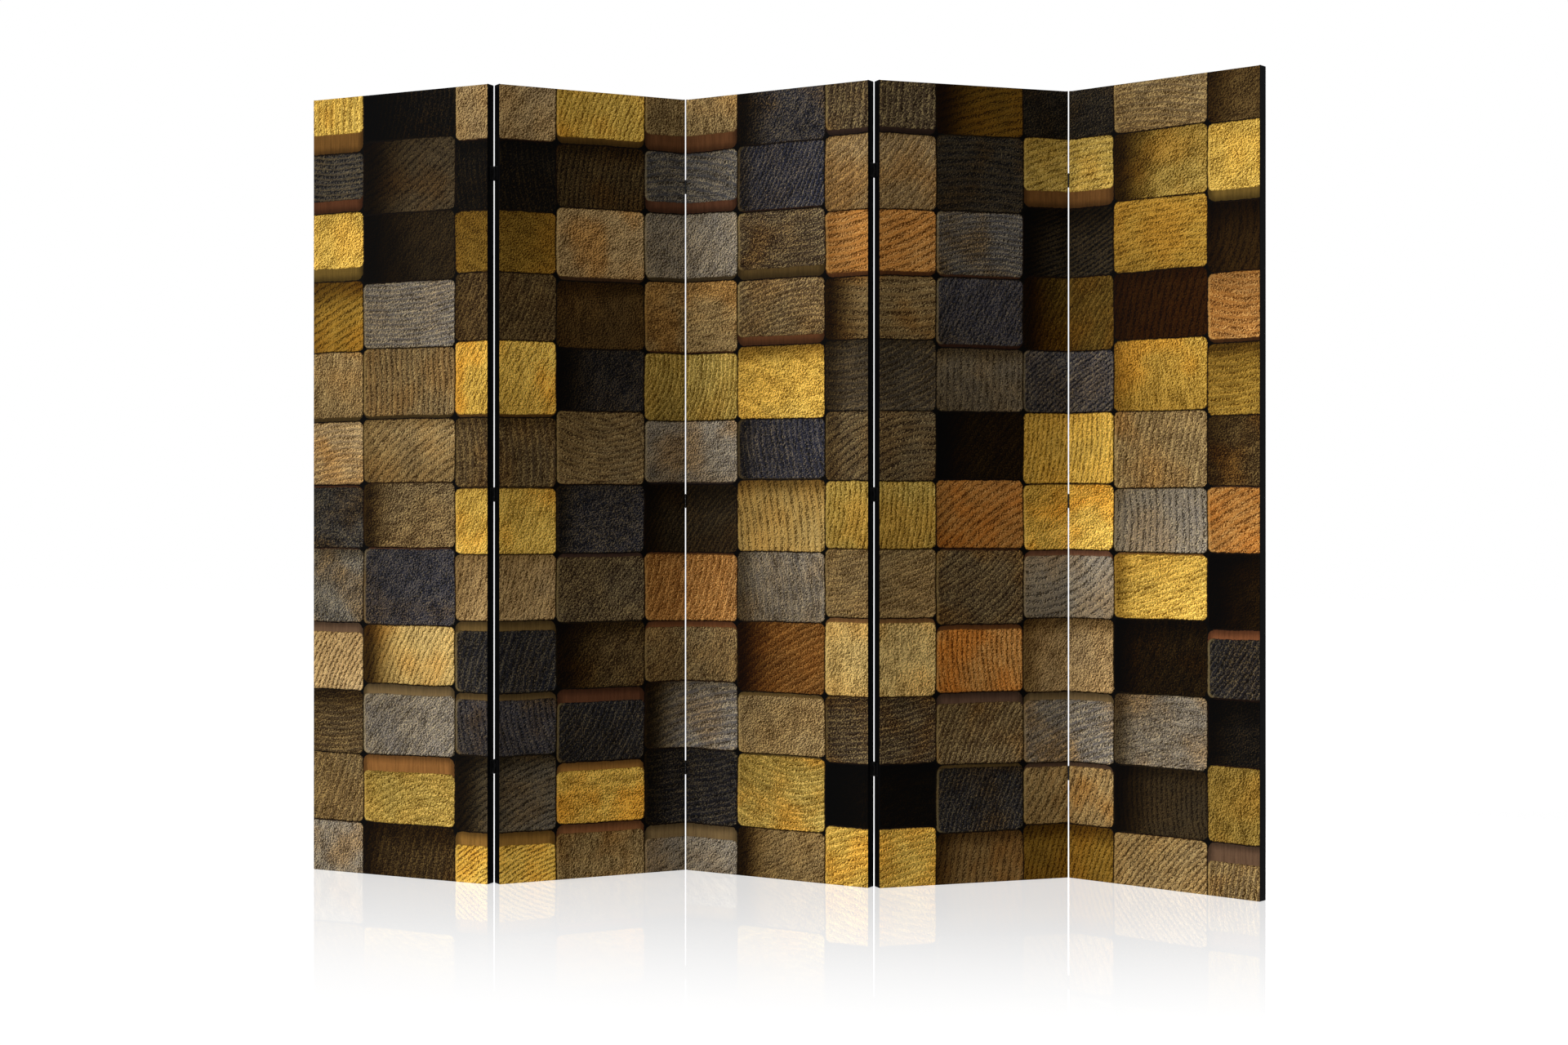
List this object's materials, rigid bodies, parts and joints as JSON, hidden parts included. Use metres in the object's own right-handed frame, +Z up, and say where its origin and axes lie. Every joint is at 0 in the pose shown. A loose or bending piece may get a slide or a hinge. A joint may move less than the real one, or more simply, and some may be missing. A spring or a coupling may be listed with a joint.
{
  "type": "folding screen",
  "caption": "Free-standing folding screen: tall canvas-covered panels with a printed wood-block pattern and black edges, joined by small black butt hinges that fold to and fro.",
  "frame": {"origin": "middle of the standing screen's outline, on the floor", "axes": "+X along the run of the screen, to the right as seen from the printed side; +Y towards the plain back; +Z up"},
  "size_m": [2.0556, 0.3718, 1.72],
  "materials": {
    "printed_canvas": "matt print on canvas",
    "backing_cloth": "plain black non-woven cloth",
    "pine": "planed, raw",
    "black_hinge": "satin black",
    "pin_steel": "satin black",
    "black_screw": "blackened steel",
    "staple_steel": "galvanised wire"
  },
  "bodies": {
    "panel_3": {"fold_2_pins": "pin_steel", "fold_2_right_leaves": "black_hinge", "fold_3_left_leaves": "black_hinge", "fold_3_pins": "pin_steel", "panel_3_back_cover": "backing_cloth", "panel_3_bottom_rail": "pine", "panel_3_front_canvas": "printed_canvas", "panel_3_hinge_screws": "black_screw", "panel_3_left_stile": "pine", "panel_3_middle_rail": "pine", "panel_3_right_stile": "pine", "panel_3_staples": "staple_steel", "panel_3_top_rail": "pine"},
    "panel_1": {"fold_1_left_leaves": "black_hinge", "fold_1_pins": "pin_steel", "panel_1_back_cover": "backing_cloth", "panel_1_bottom_rail": "pine", "panel_1_front_canvas": "printed_canvas", "panel_1_hinge_screws": "black_screw", "panel_1_left_stile": "pine", "panel_1_middle_rail": "pine", "panel_1_right_stile": "pine", "panel_1_staples": "staple_steel", "panel_1_top_rail": "pine"},
    "panel_2": {"fold_1_right_leaves": "black_hinge", "fold_2_left_leaves": "black_hinge", "panel_2_back_cover": "backing_cloth", "panel_2_bottom_rail": "pine", "panel_2_front_canvas": "printed_canvas", "panel_2_hinge_screws": "black_screw", "panel_2_left_stile": "pine", "panel_2_middle_rail": "pine", "panel_2_right_stile": "pine", "panel_2_staples": "staple_steel", "panel_2_top_rail": "pine"},
    "panel_4": {"fold_3_right_leaves": "black_hinge", "fold_4_left_leaves": "black_hinge", "panel_4_back_cover": "backing_cloth", "panel_4_bottom_rail": "pine", "panel_4_front_canvas": "printed_canvas", "panel_4_hinge_screws": "black_screw", "panel_4_left_stile": "pine", "panel_4_middle_rail": "pine", "panel_4_right_stile": "pine", "panel_4_staples": "staple_steel", "panel_4_top_rail": "pine"},
    "panel_5": {"fold_4_pins": "pin_steel", "fold_4_right_leaves": "black_hinge", "panel_5_back_cover": "backing_cloth", "panel_5_bottom_rail": "pine", "panel_5_front_canvas": "printed_canvas", "panel_5_hinge_screws": "black_screw", "panel_5_left_stile": "pine", "panel_5_middle_rail": "pine", "panel_5_right_stile": "pine", "panel_5_staples": "staple_steel", "panel_5_top_rail": "pine"}
  },
  "joints": [
    {"name": "fold_2", "type": "hinge", "parent": "panel_3", "child": "panel_2", "pos_m": [-0.21183, 0.09359, 0.86], "axis": [0, 0, 1], "range_deg": [-58.4, 117.6]},
    {"name": "fold_1", "type": "hinge", "parent": "panel_2", "child": "panel_1", "pos_m": [-0.58636, -0.15858, 0.86], "axis": [0, 0, -1], "range_deg": [-53.2, 126.8]},
    {"name": "fold_3", "type": "hinge", "parent": "panel_3", "child": "panel_4", "pos_m": [0.22043, -0.0368, 0.86], "axis": [0, 0, 1], "range_deg": [-50.5, 125.5]},
    {"name": "fold_4", "type": "hinge", "parent": "panel_4", "child": "panel_5", "pos_m": [0.62606, 0.16151, 0.86], "axis": [0, 0, -1], "range_deg": [-60.5, 119.5]}
  ]
}
